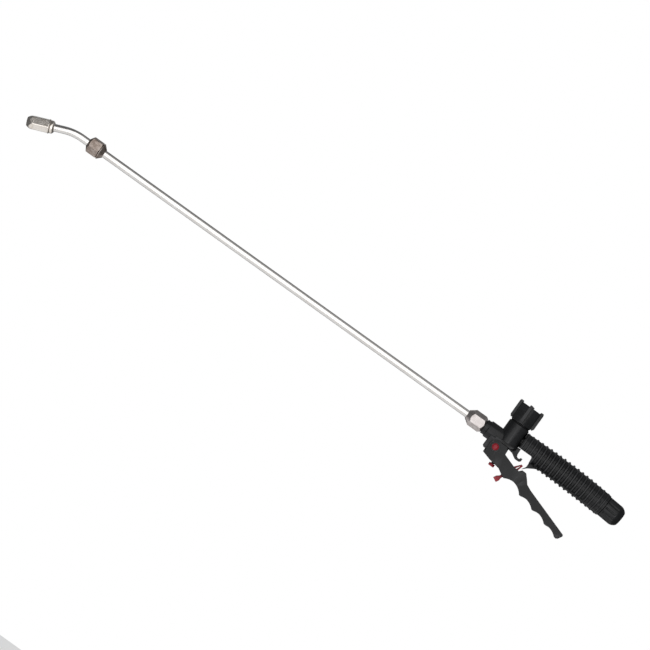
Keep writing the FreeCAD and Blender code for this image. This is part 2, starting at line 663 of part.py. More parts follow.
def valve_body():
    """Moulded body: tower, front barrel with threaded neck, lug and hook."""
    body = new_body("valve_body", (-dims.valve_ahead, 0, 0))
    edge = dims.moulded_edge
    turned(body, [
        (0, -dims.tower_bottom), (dims.tower_radius - 2, -dims.tower_bottom),
        (dims.tower_radius, -dims.tower_bottom + 2), (dims.tower_radius, dims.tower_top - edge),
        (dims.tower_radius - edge, dims.tower_top), (0, dims.tower_top)], "V_Axis")
    turned(body, [(0, -dims.boss_bottom), (dims.boss_radius - edge, -dims.boss_bottom),
                  (dims.boss_radius, -dims.boss_bottom + edge),
                  (dims.boss_radius, -dims.tower_bottom + 1), (0, -dims.tower_bottom + 1)], "V_Axis")
    draw_neck(body)
    turned(body, [(0, 0), (dims.spigot_rear, 0), (dims.spigot_rear, dims.spigot_radius - edge),
                  (dims.spigot_rear - edge, dims.spigot_radius), (0, dims.spigot_radius)],
           shift=(0, dims.inlet_rise))
    for side in (-1, 1):
        cut_flat(body, side)
    pivot_x = dims.valve_ahead - dims.pivot_ahead

    def lug(sketch):
        draw_outline(sketch, [
            (-dims.lug_front, -dims.lance_drop), (-dims.lug_front, -dims.lug_bottom + 2),
            (-dims.lug_front + 2, -dims.lug_bottom), (-dims.lug_back - 5, -dims.lug_bottom),
            (-dims.lug_back, -dims.pivot_drop - 1), (-dims.lug_back, -dims.lance_drop)])

    extruded(body, lug, dims.lug_width)
    extruded(body, draw_hook, dims.hook_width)
    passage = dims.seat_radius
    turned(body, [
        (0, dims.tower_top), (dims.chamber_radius, dims.tower_top),
        (dims.chamber_radius, -dims.seat_level), (passage, -dims.seat_level),
        (passage, -dims.passage_bottom), (dims.stem_radius + dims.fit_gap, -dims.passage_bottom),
        (dims.stem_radius + dims.fit_gap, -dims.gland_pocket_top),
        (dims.gland_pocket_radius, -dims.gland_pocket_top),
        (dims.gland_pocket_radius, -dims.boss_bottom), (0, -dims.boss_bottom)], "V_Axis", cut=True)
    turned(body, [
        (-dims.neck_front, 0), (-dims.neck_front, dims.tube_radius + dims.fit_gap),
        (-dims.tube_seat, dims.tube_radius + dims.fit_gap), (-dims.tube_seat, passage),
        (0, passage), (0, 0)], cut=True, shift=(0, -dims.lance_drop))
    turned(body, [(0, 0), (dims.spigot_rear, 0), (dims.spigot_rear, dims.inlet_bore),
                  (0, dims.inlet_bore)], cut=True, shift=(0, dims.inlet_rise))
    extruded(body, lambda sketch: draw_circle(sketch, dims.pin_radius, (pivot_x, -dims.pivot_drop)),
             dims.lug_width + 2, cut=True)


def draw_neck(body):
    """Front barrel with its collar and the threaded neck for the lance nut."""
    count = int(dims.neck_thread_count.number)
    face = -dims.barrel_front
    collar = face - dims.neck_collar_length
    root = dims.neck_radius - dims.thread_depth
    thread_start = collar - dims.thread_pitch * count - dims.moulded_edge
    middle = -dims.tower_radius / 2
    chamfer = dims.moulded_edge * 1.5
    turned(body, [(-dims.neck_front, 0), (-dims.neck_front, root)]
           + thread_outline(thread_start, count, dims.neck_radius)
           + [(collar, root), (collar, dims.neck_collar_radius), (face, dims.neck_collar_radius),
              (face, dims.barrel_radius - chamfer), (face + chamfer, dims.barrel_radius),
              (middle, dims.barrel_radius), (middle, 0)],
           shift=(0, -dims.lance_drop))


def cut_flat(body, side):
    """Flat on one side of the tower's foot, clear of the trigger ears."""
    reach = dims.tower_radius + 2

    def outline(sketch):
        near = side * dims.tower_flat
        far = side * reach
        draw_outline(sketch, [(near, -reach * 2), (far, -reach * 2), (far, -dims.tower_ledge),
                              (near, -dims.tower_ledge)])

    extruded(body, outline, reach * 2, "YZ_Plane", cut=True)


def draw_hook(sketch):
    """Arm under the tower that ends in a cup for the lock bar."""
    draw_outline(sketch, [
        (6.0, -16.2), (12.8, -17.4), (17.9, -20.4), (20.5, -21.7), (23.5, -21.7),
        (26.2, -21.5), (28.0, -19.7), (28.0, -15.9), (25.8, -15.9), (25.0, -17.7),
        (23.0, -18.4), (20.6, -17.4), (19.4, -14.5), (19.2, -7.0), (6.0, -7.0)])


def stem_and_plunger():
    """Everything that lifts with the stem: stem, washer and plunger."""
    at = (-dims.valve_ahead, 0, 0)
    seat = -dims.seat_level
    washer_top = seat + dims.washer_thickness
    flange_top = washer_top + dims.plunger_flange
    stem = new_body("valve_stem", at)
    turned(stem, [(0, -dims.stem_foot), (dims.stem_radius - 0.6, -dims.stem_foot),
                  (dims.stem_radius, -dims.stem_foot + 0.6), (dims.stem_radius, flange_top),
                  (0, flange_top)], "V_Axis")
    ring_along_z("plunger_washer", seat, washer_top, dims.stem_radius, dims.washer_radius, at)
    plunger = new_body("valve_plunger", at)
    guide_top = flange_top + dims.plunger_guide_length
    turned(plunger, [
        (dims.stem_radius, washer_top), (dims.plunger_radius, washer_top),
        (dims.plunger_radius, flange_top), (dims.plunger_guide_radius, flange_top),
        (dims.plunger_guide_radius, guide_top - 1), (dims.plunger_guide_radius - 1, guide_top),
        (0, guide_top), (0, flange_top), (dims.stem_radius, flange_top)], "V_Axis")
    return flange_top


def valve_spring(foot):
    """Closed coil that holds the plunger down on its seat."""
    helix = doc.addObject("Part::Helix", "spring_line")
    bottom = foot + dims.spring_wire
    height = dims.spring_top - foot - dims.spring_wire * 2
    helix.Radius = dims.spring_radius.number
    helix.Pitch = dims.spring_pitch.number
    helix.Height = height.number
    bind(helix, "Radius", dims.spring_radius)
    bind(helix, "Pitch", dims.spring_pitch)
    bind(helix, "Height", height)
    wire = doc.addObject("Part::Circle", "spring_section")
    wire.Radius = dims.spring_wire.number
    bind(wire, "Radius", dims.spring_wire)
    wire.Placement = FreeCAD.Placement(
        FreeCAD.Vector(dims.spring_radius.number, 0, 0),
        FreeCAD.Rotation(FreeCAD.Vector(1, 0, 0), 90))
    bind(wire, "Placement.Base.x", dims.spring_radius)
    doc.recompute()
    spring = doc.addObject("Part::Sweep", "valve_spring")
    spring.Sections = [wire]
    spring.Spine = (helix, [])
    spring.Solid = True
    spring.Frenet = True
    place(spring, (-dims.valve_ahead, 0, bottom))
    sub_parts.append(spring)


def stem_packing():
    at = (-dims.valve_ahead, 0, 0)
    seal = doc.addObject("Part::Torus", "stem_seal")
    room = dims.gland_pocket_radius - dims.stem_radius - dims.fit_gap * 2
    seal.Radius1 = (dims.stem_radius + dims.fit_gap + room / 2).number
    seal.Radius2 = (room / 2).number
    bind(seal, "Radius1", dims.stem_radius + dims.fit_gap + room / 2)
    bind(seal, "Radius2", room / 2)
    place(seal, (-dims.valve_ahead, 0, -dims.gland_pocket_top - room / 2))
    sub_parts.append(seal)
    gland = new_body("stem_gland", at)
    hole = dims.stem_radius + dims.fit_gap
    top = -dims.gland_pocket_top - room
    turned(gland, [
        (hole, top), (dims.gland_pocket_radius, top), (dims.gland_pocket_radius, -dims.boss_bottom),
        (dims.gland_flange_radius, -dims.boss_bottom),
        (dims.gland_flange_radius, -dims.boss_bottom - dims.gland_flange),
        (hole, -dims.boss_bottom - dims.gland_flange)], "V_Axis")


def valve_cap():
    """Large ribbed cap; its threaded boss closes the chamber."""
    body = new_body("valve_cap", (-dims.valve_ahead, 0, 0), dims.cap_turn, (0, 0, 1))
    floor = dims.cap_rim - dims.cap_recess_depth
    boss_foot = dims.cap_bottom - dims.cap_boss_length
    turned(body, [
        (dims.cap_pocket_radius, boss_foot), (dims.cap_boss_radius, boss_foot),
        (dims.cap_boss_radius, dims.cap_bottom), (dims.cap_radius - 0.8, dims.cap_bottom),
        (dims.cap_radius, dims.cap_bottom + 0.8), (dims.cap_radius, dims.cap_rim),
        (dims.cap_recess_radius, dims.cap_rim), (dims.cap_recess_radius, floor), (0, floor),
        (0, dims.spring_top), (dims.cap_pocket_radius, dims.spring_top)], "V_Axis")

    def rib(sketch):
        reach = dims.cap_rib_reach
        root = dims.cap_radius - 1.6
        draw_outline(sketch, [
            (root, dims.cap_bottom + 3), (reach - 2, dims.cap_bottom + 1), (reach, dims.cap_bottom + 4),
            (reach, dims.cap_rim), (reach - 0.8, dims.cap_rim + dims.cap_prong_height),
            (root + 0.8, dims.cap_rim + dims.cap_prong_height), (root, dims.cap_rim)])

    feature = extruded(body, rib, dims.cap_rib_width)
    repeated(body, feature, "Z_Axis", dims.cap_rib_count)
    ring_along_z("valve_cap_seal", dims.tower_top, dims.cap_bottom, dims.cap_seal_inner,
                 dims.cap_seal_outer, (-dims.valve_ahead, 0, 0))


# ---------------------------------------------------------------- trigger

def finger_crest(index):
    return (dims.finger_start + dims.finger_pitch * index, -dims.finger_level - dims.finger_drop * index)


def draw_lever(sketch):
    """Side view of the lever, with scallops for the fingers."""
    ear = dims.ear_radius
    points = [
        (0, ear, ear), (-ear, 0), (-7.7, -13.9), (5.1, -17.5), (14.0, -19.0), (21.5, -20.2),
        (32.0, -26.5, -dims.finger_radius)]
    for index in range(3):
        x, z = finger_crest(index)
        points.append((x, z, -dims.finger_radius))
    points += [(130.5, -50.6), (133.1, -49.0), (136.3, -43.4), (135.4, -41.2), (69.1, -19.2)]
    points += [(61.4, -15.6), (56.3, -9.5), (51.8, -4.6), (48.0, -4.4), (44.6, -8.0), (34.6, -7.0)]
    points += [(16.2, -0.8), (15.8, 5.0), (13.0, ear)]
    draw_outline(sketch, points)


def draw_channel(sketch):
    """Side view of the hollow between the cheeks, open at the top and front."""
    web = dims.web_thickness
    top = dims.ear_radius + 4
    back = dims.finger_start + dims.finger_pitch * 2.7
    x, z = finger_crest(0)
    rise = web + 2.8
    fall = dims.finger_drop * 2.7
    draw_outline(sketch, [
        (-14.0, top), (-14.0, -13.9 + web), (-7.7, -13.9 + web), (5.1, -17.5 + web),
        (14.0, -19.0 + web), (21.5, -20.2 + web), (32.0, -26.0 + web), (40.0, -23.4 + web),
        (53.0, -25.6 + web), (x, z + rise), (back, z + rise - fall), (back, top)])


def trigger_lever():
    """Channel-shaped lever that straddles the lug, the hook and the fin."""
    body = new_body("trigger_lever", (-dims.pivot_ahead, 0, -dims.pivot_drop))
    outside = (dims.cheek_inner + dims.cheek_thickness) * 2
    extruded(body, draw_lever, outside)
    extruded(body, lambda sketch: draw_circle(sketch, dims.boss_ring_radius),
             outside + dims.boss_ring_height * 2)
    extruded(body, draw_channel, dims.cheek_inner * 2, cut=True)
    pin_hole = dims.pin_radius + dims.fit_gap
    extruded(body, lambda sketch: draw_circle(sketch, pin_hole), outside + 6, cut=True)
    screw_x = dims.pivot_ahead - dims.valve_ahead
    extruded(body, lambda sketch: draw_circle(sketch, dims.screw_shank, (screw_x, 0)),
             THROUGH, "XY_Plane", cut=True)
    lock_x = dims.pivot_ahead - dims.lock_ahead
    lock_z = dims.pivot_drop - dims.lock_drop
    extruded(body, lambda sketch: draw_circle(sketch, dims.lock_pin_radius, (lock_x, lock_z)),
             (dims.cheek_inner + dims.lock_pin_seat) * 2, cut=True)

    def lock_slot(sketch):
        half = dims.lock_width / 2 + dims.free_gap
        draw_outline(sketch, [(23.4, -half), (35.4, -half), (35.4, half), (23.4, half)])

    extruded(body, lock_slot, THROUGH, "XY_Plane", cut=True)


def trigger_pin():
    """Headed pin pressed in the lug, and the clip on its far end."""
    at = (-dims.pivot_ahead, 0, -dims.pivot_drop)
    pin = new_body("trigger_pin", at, 90, (0, 0, 1))
    face = dims.cheek_inner + dims.cheek_thickness + dims.boss_ring_height + dims.fit_gap * 2
    head = dims.pin_head_radius
    tip = face + 2.0
    turned(pin, [
        (-face - dims.pin_head_height, 0), (-face - dims.pin_head_height, head - 2),
        (-face - 0.6, head), (-face, head), (-face, dims.pin_radius), (tip - 0.6, dims.pin_radius),
        (tip, dims.pin_radius - 0.6), (tip, 0)])
    clip = new_body("pin_clip", at, 90, (0, 0, 1))
    turned(clip, ring_outline(face, face + 0.9, dims.pin_radius, dims.pin_head_radius))


def adjuster_screw():
    """Red-headed screw in the trigger web; its pad lifts the valve stem."""
    body = new_body("adjuster_screw", (-dims.valve_ahead, 0, 0))
    foot = -dims.screw_foot
    head_top = foot + dims.screw_head_height - 0.8
    pad_top = -dims.stem_foot - dims.screw_gap
    pad_bottom = pad_top - dims.screw_pad_height
    turned(body, [
        (0, foot), (dims.screw_head - 0.6, foot), (dims.screw_head, foot + 0.6),
        (dims.screw_head, head_top), (dims.screw_shank, head_top), (dims.screw_shank, pad_bottom),
        (dims.screw_pad_radius, pad_bottom), (dims.screw_pad_radius, pad_top - 0.5),
        (dims.screw_pad_radius - 0.5, pad_top), (0, pad_top)], "V_Axis")


# ------------------------------------------------------------- lock lever

def lock_lever():
    """Red lever in the trigger whose top bar drops over the hook."""
    at = (-dims.lock_ahead, 0, -dims.lock_drop)
    body = new_body("lock_lever", at, dims.lock_lean, (0, 1, 0))
    arm = dims.lock_arm / 2
    loop = dims.lock_loop_width / 2
    top = dims.lock_top_width / 2
    tab = dims.lock_tab_width / 2
    foot = -dims.lock_tab_bottom

    def blade(sketch):
        draw_outline(sketch, [
            (-tab, foot), (tab, foot), (tab, foot + 4.5), (arm, foot + 8), (arm, dims.lock_loop_start - 3),
            (loop, dims.lock_loop_start), (top, dims.lock_top), (-top, dims.lock_top),
            (-loop, dims.lock_loop_start), (-arm, dims.lock_loop_start - 3), (-arm, foot + 8),
            (-tab, foot + 4.5)])

    extruded(body, blade, dims.lock_width)

    def slot(sketch):
        half = dims.lock_loop_slot / 2
        narrow = half * 0.6
        slot_top = dims.lock_top - dims.lock_bar - 1
        draw_outline(sketch, [
            (-half, dims.lock_loop_start), (half, dims.lock_loop_start),
            (narrow, slot_top), (-narrow, slot_top)])

    extruded(body, slot, dims.lock_width + 2, cut=True)

    def fork(sketch):
        reach = dims.lock_loop_width
        high = dims.lock_top - dims.lock_bar
        draw_outline(sketch, [(-reach, 3.5), (reach, 3.5), (reach, high), (-reach, high)])

    extruded(body, fork, dims.lock_gap, cut=True)
    hole = dims.lock_pin_radius + dims.fit_gap
    extruded(body, lambda sketch: draw_circle(sketch, hole), dims.lock_width + 2, cut=True)
    pin = new_body("lock_pin", at, 90, (0, 0, 1))
    end = dims.cheek_inner + dims.lock_pin_seat
    turned(pin, [(-end, 0), (-end, dims.lock_pin_radius), (end, dims.lock_pin_radius), (end, 0)])


# ------------------------------------------------------------------- grip

def grip_point(along):
    """Centre line of the grip: position and slope, degrees, at a distance."""
    arc = along + dims.grip_bend_start.number
    if arc <= 0:
        return along, 0.0, 0.0
    radius = dims.grip_bend_radius.number
    angle = arc / radius
    x = -dims.grip_bend_start.number + radius * math.sin(angle)
    return x, -radius * (1 - math.cos(angle)), math.degrees(angle)


def grip_end():
    angle = math.radians(dims.grip_bend_angle.number)
    x = -dims.grip_bend_start + dims.grip_bend_radius * math.sin(angle)
    return x, -dims.grip_bend_radius * (1 - math.cos(angle))


def grip_rib(body, along):
    """One ring with hollow flanks, square to the centre line."""
    x, z, slope = grip_point(along)
    base = dims.grip_rib_base / 2
    crest = dims.grip_rib_crest / 2
    core = dims.grip_core_radius
    radius = dims.grip_rib_radius - dims.grip_rib_fall * (along * along)
    flank = -dims.grip_flank_radius
    root = core - 0.6
    turned(body, [(-base, root - 1), (base, root - 1), (base, root, flank), (crest, radius),
                  (-crest, radius, flank), (-base, root)], shift=(x, z), turn=-slope)


def grip_handle():
    """Ribbed grip along a gently curved line, with the guard fin below."""
    body = new_body("grip_handle")
    end_x, end_z = grip_end()
    curve = (-dims.grip_bend_start, 0, -dims.grip_bend_radius)
    piped(body, [(-dims.grip_front, 0), curve, (end_x, end_z)], dims.grip_core_radius, -dims.grip_front)
    for index in range(int(dims.grip_rib_count.number)):
        grip_rib(body, -dims.grip_first_rib.number + dims.grip_rib_pitch.number * index)
    turned(body, [(-2, dims.filter_bore), (dims.end_neck_length, dims.filter_bore),
                  (dims.end_neck_length, dims.end_neck_radius - 0.8),
                  (dims.end_neck_length - 0.8, dims.end_neck_radius), (-2, dims.end_neck_radius)],
           shift=(end_x, end_z), turn=-dims.grip_bend_angle)

    def front_trim(sketch):
        draw_outline(sketch, [(-dims.window_front - 3, -20), (-dims.grip_front, -20),
                              (-dims.grip_front, 20), (-dims.window_front - 3, 20)])

    extruded(body, front_trim, THROUGH, cut=True)

    def window(sketch):
        front = -dims.window_front
        back = -dims.window_back
        top = -dims.window_top
        draw_outline(sketch, [
            (front, -THROUGH / 2), (back, -THROUGH / 2), (back, top - dims.window_corner),
            (back - dims.window_corner, top), (front, top)])

    extruded(body, window, THROUGH, cut=True)

    def fin(sketch):
        draw_outline(sketch, [
            (-dims.window_back, -10.0), (-dims.window_back, -21.3), (-46.1, -27.1), (-41.0, -22.2),
            (-33.3, -17.5), (-28.2, -15.3), (-28.2, -10.0)])

    extruded(body, fin, dims.fin_width)
    piped(body, [curve, (end_x, end_z)], dims.filter_bore, -dims.grip_bend_start, cut=True)
    socket_end = -dims.valve_ahead + dims.spigot_rear + dims.free_gap
    turned(body, [(-dims.grip_front - 1, 0), (socket_end, 0),
                  (socket_end, dims.spigot_radius), (-dims.grip_front - 1, dims.spigot_radius)],
           cut=True, shift=(0, dims.inlet_rise))
    turned(body, [(socket_end - 1, 0), (-dims.grip_bend_start + 1, 0),
                  (-dims.grip_bend_start + 1, dims.grip_bore_front),
                  (socket_end - 1, dims.grip_bore_front)], cut=True)


# --------------------------------------------------------------- hose end

def hose_end():
    """Filter, gasket, spigot and nut, on the line of the grip's end."""
    end_x, end_z = grip_end()
    at = (end_x, 0, end_z)
    tilt = -dims.grip_bend_angle
    face = dims.end_neck_length
    gasket_rear = face + 1.2
    flange_rear = gasket_rear + dims.spigot_flange
    ring_along_x("hose_gasket", face, gasket_rear, dims.filter_bore, dims.spigot_flange_radius, at, tilt)
    spigot = new_body("hose_spigot", at, tilt)
    outline = [(gasket_rear, dims.barb_bore), (gasket_rear, dims.spigot_flange_radius),
               (flange_rear, dims.spigot_flange_radius), (flange_rear, dims.barb_root)]
    step = dims.barb_length / 3
    for index in range(3):
        start = flange_rear + step * index
        outline.append((start + 0.4, dims.barb_radius))
        outline.append((start + step, dims.barb_root))
    outline.append((flange_rear + dims.barb_length, dims.barb_bore))
    turned(spigot, outline[::-1])
    nut = new_body("hose_nut", at, tilt)
    front = dims.free_gap
    thread = dims.end_neck_radius + dims.fit_gap
    round_start = dims.hose_nut_length - dims.hose_nut_round
    lip = dims.hose_nut_length - dims.hose_lip
    turned(nut, [
        (front, thread), (flange_rear + 0.2, thread), (flange_rear + 0.2, dims.hose_relief),
        (lip, dims.hose_relief), (lip, dims.hose_hole), (dims.hose_nut_length, dims.hose_hole),
        (dims.hose_nut_length, dims.hose_nut_face, 12.0),
        (round_start, dims.hose_nut_radius), (front + 0.8, dims.hose_nut_radius),
        (front, dims.hose_nut_radius - 0.8)])
    flute_centre = dims.hose_nut_radius + dims.hose_flute_radius - 0.8
    flute = extruded(nut, lambda sketch: draw_circle(sketch, dims.hose_flute_radius, (0, flute_centre)),
                     dims.hose_flute_length, "YZ_Plane", cut=True, middle=False,
                     along=dims.hose_flute_start, reverse=True)
    repeated(nut, flute, "X_Axis", dims.hose_flute_count)
    handle_filter(at, tilt)


def handle_filter(at, tilt):
    """Slotted cage with a mesh sleeve inside it."""
    cage = new_body("filter_cage", at, tilt)
    rear = dims.end_neck_length - 0.2
    front = rear - dims.filter_length
    mesh = dims.filter_mesh
    turned(cage, [
        (front, 0), (front + 2, 0), (front + 2, mesh), (rear, mesh), (rear, dims.filter_collar),
        (rear - 3, dims.filter_collar), (rear - 3, dims.filter_radius), (front, dims.filter_radius)])

    def side_slot(sketch):
        draw_outline(sketch, [(front + 5, -2.2), (rear - 8, -2.2), (rear - 8, 2.2), (front + 5, 2.2)])

    slot = extruded(cage, side_slot, dims.filter_radius + 2, "XY_Plane", cut=True, middle=False,
                    reverse=True)
    repeated(cage, slot, "X_Axis", 4)
    ring_along_x("filter_mesh", front + 2, rear - 1, mesh - dims.filter_mesh_wall, mesh, at, tilt)


# ------------------------------------------------------------------ build

def build_all():
    lance_tube()
    lance_joint()
    nozzle_at = elbow_tube(elbow_joint())
    body_front = nozzle_body(nozzle_at)
    nozzle_cap(nozzle_at, body_front)
    nozzle_inside(nozzle_at, body_front)
    valve_body()
    foot = stem_and_plunger()
    valve_spring(foot)
    stem_packing()
    valve_cap()
    trigger_lever()
    trigger_pin()
    adjuster_screw()
    lock_lever()
    grip_handle()
    hose_end()


def check_all():
    doc.recompute()
    for item in doc.Objects:
        if "Invalid" in item.State or "Error" in item.State:
            raise ValueError(f"{item.Name} failed: {item.State}")
    for item in sub_parts:
        if item.Shape.isNull() or not item.Shape.isValid():
            raise ValueError(f"{item.Label} has no valid shape")


def write_all():
    os.makedirs("parts", exist_ok=True)
    for item in sub_parts:
        item.Shape.exportStep(os.path.join("parts", item.Label + ".step"))


build_all()
check_all()
write_all()
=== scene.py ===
import json
import math

import bmesh
import bpy
from mathutils import Matrix, Vector


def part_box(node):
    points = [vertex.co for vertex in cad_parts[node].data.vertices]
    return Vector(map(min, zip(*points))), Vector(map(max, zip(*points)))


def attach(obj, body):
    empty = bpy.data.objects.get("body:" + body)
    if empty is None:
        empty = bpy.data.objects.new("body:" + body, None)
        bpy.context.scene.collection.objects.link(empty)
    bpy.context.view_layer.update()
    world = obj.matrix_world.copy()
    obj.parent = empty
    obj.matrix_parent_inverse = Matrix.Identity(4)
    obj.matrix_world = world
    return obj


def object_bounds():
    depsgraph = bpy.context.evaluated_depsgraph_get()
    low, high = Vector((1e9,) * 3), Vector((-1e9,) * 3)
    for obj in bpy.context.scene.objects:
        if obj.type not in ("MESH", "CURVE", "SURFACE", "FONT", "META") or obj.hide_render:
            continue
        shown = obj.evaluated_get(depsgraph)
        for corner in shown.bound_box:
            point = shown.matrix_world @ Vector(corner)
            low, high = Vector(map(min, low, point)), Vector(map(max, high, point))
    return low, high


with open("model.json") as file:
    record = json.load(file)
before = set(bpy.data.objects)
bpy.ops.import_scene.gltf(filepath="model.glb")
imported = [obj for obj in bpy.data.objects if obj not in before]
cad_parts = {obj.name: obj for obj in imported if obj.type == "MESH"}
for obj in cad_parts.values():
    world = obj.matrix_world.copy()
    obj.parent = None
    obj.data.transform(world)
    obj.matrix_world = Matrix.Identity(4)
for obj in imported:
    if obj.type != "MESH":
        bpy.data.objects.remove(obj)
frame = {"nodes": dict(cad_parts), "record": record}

CAD_LOW, CAD_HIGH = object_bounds()
NODES = frame["nodes"]

# The lance rises to the left in the main view: this is the slope of its axis.
LANCE_SLOPE = math.radians(35.596)
# Width of the main view at the lance, and where its centre falls on the part.
VIEW_WIDTH = 0.832
VIEW_CENTRE_X = -0.3579
VIEW_BELOW_LANCE = 0.0136
LENS_MM = 150.0
SENSOR_MM = 36.0

FLOOR_SIZE = 1.3
FLOOR_DROP = 0.62

# Edges of the carried-over nodes that are sharper than this are rounded.
SHARP_ANGLE = math.radians(34.0)
WELD_DISTANCE = 0.000002
EDGE_SEGMENTS = 3
EDGE_RADIUS = {
    "valve_body": 0.0005,
    "trigger_lever": 0.0007,
    "valve_cap": 0.0005,
    "hose_nut": 0.0004,
    "lock_lever": 0.0004,
    "lance_nut": 0.00035,
    "elbow_nut": 0.00035,
    "nozzle_cap": 0.0003,
    "nozzle_body": 0.0003,
    "lance_fitting": 0.0003,
    "adjuster_screw": 0.0004,
    "trigger_pin": 0.0004,
    "valve_cap_seal": 0.0002,
    "stem_gland": 0.0002,
}

# Smooth strip along each side of the ribbed grip, which runs straight and then
# bends slowly downwards.
GRIP_FRONT = -0.0640
GRIP_BEND_START = -0.0282
GRIP_BEND_RADIUS = 1.230
GRIP_LENGTH = 0.1285
STRIP_HALF_HEIGHT = 0.0034
STRIP_FACE = 0.0158
STRIP_ROOT = 0.0142
STRIP_UNDERCUT = 0.001
STRIP_STEPS = 64
STRIP_POINTS = 14
STRIP_FADE = 0.06
STRIP_LEAST = 0.05
DOME_POWER = 0.8

# Painted shade in grooves: how far away a wall still counts, the openness where
# shade starts and where it is full, and the share of the dark tone that is left.
GROOVE_REACH = 0.004
GROOVE_OPEN = 0.92
GROOVE_DEEP = 0.55
GROOVE_SHADE = 0.2

# Pointiness where rubbed plastic and rubbed metal start and reach full effect.
PLASTIC_WEAR = (0.51, 0.58)
METAL_WEAR = (0.52, 0.60)

FELT_COLOUR = (0.96, 0.98, 1.0)
FELT_STRENGTH = 0.12
FLOOR_GLOW = 0.45

WHITE = (1.0, 1.0, 1.0)


# ---------------------------------------------------------------- node helpers

class Shader:
    """A Principled material under construction."""

    def __init__(self, name):
        self.material = bpy.data.materials.new(name)
        self.material.use_nodes = True
        self.tree = self.material.node_tree
        self.surface = self.tree.nodes["Principled BSDF"]
        self.place = self.node("ShaderNodeTexCoord").outputs["Object"]

    def node(self, kind, **settings):
        made = self.tree.nodes.new(kind)
        for key, value in settings.items():
            setattr(made, key, value)
        return made

    def link(self, source, target):
        self.tree.links.new(source, target)

    def fixed(self, **values):
        """Set uniform values straight on the shader's own sockets."""
        for key, value in values.items():
            self.surface.inputs[key.replace("_", " ")].default_value = value

    def stretched(self, scale):
        """Object coordinates scaled per axis, for grain that runs one way."""
        mapping = self.node("ShaderNodeMapping")
        mapping.inputs["Scale"].default_value = scale
        self.link(self.place, mapping.inputs["Vector"])
        return mapping.outputs["Vector"]

    def noise(self, scale, detail=4.0, rough=0.55, vector=None):
        made = self.node("ShaderNodeTexNoise")
        made.inputs["Scale"].default_value = scale
        made.inputs["Detail"].default_value = detail
        made.inputs["Roughness"].default_value = rough
        self.link(vector or self.place, made.inputs["Vector"])
        return made.outputs["Fac"]

    def ramp(self, source, stops):
        """A colour ramp from (position, colour) stops."""
        made = self.node("ShaderNodeValToRGB")
        elements = made.color_ramp.elements
        for index, (position, colour) in enumerate(stops):
            element = elements[index] if index < 2 else elements.new(position)
            element.position = position
            element.color = (*colour, 1.0)
        self.link(source, made.inputs["Fac"])
        return made.outputs["Color"]

    def spread(self, source, low, high):
        """Map a 0 to 1 value onto low to high."""
        made = self.node("ShaderNodeMapRange")
        made.inputs["To Min"].default_value = low
        made.inputs["To Max"].default_value = high
        self.link(source, made.inputs["Value"])
        return made.outputs["Result"]

    def mixed(self, amount, first, second):
        """One colour over another by a 0 to 1 value."""
        made = self.node("ShaderNodeMix", data_type="RGBA")
        self.link(amount, made.inputs["Factor"])
        self.link(first, made.inputs["A"])
        made.inputs["B"].default_value = (*second, 1.0)
        return made.outputs["Result"]

    def worn_edges(self, base, worn, wear, patch_scale):
        """Paler metal or plastic where an edge is rubbed, in patches."""
        shape = self.node("ShaderNodeNewGeometry").outputs["Pointiness"]
        sharp = self.node("ShaderNodeMapRange")
        sharp.inputs["From Min"].default_value = wear[0]
        sharp.inputs["From Max"].default_value = wear[1]
        self.link(shape, sharp.inputs["Value"])
        patchy = self.node("ShaderNodeMath", operation="MULTIPLY")
        self.link(sharp.outputs["Result"], patchy.inputs[0])
        self.link(self.noise(patch_scale, 5.0), patchy.inputs[1])
        return self.mixed(patchy.outputs["Value"], base, worn)

    def painted_groove_shade(self, base, groove_shade_tone, reach):
        """Painted shade: darker colour down in grooves and corners."""
        open_sky = self.node("ShaderNodeAmbientOcclusion", samples=8)
        open_sky.inputs["Distance"].default_value = reach
        depth = self.node("ShaderNodeMapRange")
        depth.inputs["From Min"].default_value = GROOVE_OPEN
        depth.inputs["From Max"].default_value = GROOVE_DEEP
        self.link(open_sky.outputs["AO"], depth.inputs["Value"])
        return self.mixed(depth.outputs["Result"], base, groove_shade_tone)

    def colour(self, source):
        self.link(source, self.surface.inputs["Base Color"])

    def roughness(self, source):
        self.link(source, self.surface.inputs["Roughness"])

    def bump(self, heights):
        """Chain bumps from (height, distance in metres, strength)."""
        normal = None
        for height, distance, strength in heights:
            made = self.node("ShaderNodeBump")
            made.inputs["Distance"].default_value = distance
            made.inputs["Strength"].default_value = strength
            self.link(height, made.inputs["Height"])
            if normal is not None:
                self.link(normal, made.inputs["Normal"])
            normal = made.outputs["Normal"]
        self.link(normal, self.surface.inputs["Normal"])


# ------------------------------------------------------------------- materials

def moulded_plastic(name, dark, light, worn, rough_low, rough_high):
    """Moulded plastic: fine grain, slow drift in tone, scuffs, painted shade in grooves, pale edges.
    """
    shader = Shader(name)
    drift = shader.ramp(shader.noise(45.0, 5.0), [(0.32, dark), (0.68, light)])
    rubbed = shader.worn_edges(drift, worn, PLASTIC_WEAR, 260.0)
    # Painted shade: the colour is darkened down in grooves and corners.
    groove_shade_tone = [GROOVE_SHADE * level for level in dark]
    shader.colour(shader.painted_groove_shade(rubbed, groove_shade_tone, GROOVE_REACH))
    scuff = shader.noise(420.0, 6.0, 0.7)
    shader.roughness(shader.spread(scuff, rough_low, rough_high))
    grain = shader.noise(2600.0, 3.0)
    shader.bump([(grain, 0.00003, 0.25), (shader.noise(160.0, 3.0), 0.00012, 0.2)])
    shader.fixed(IOR=1.36)
    return shader.material


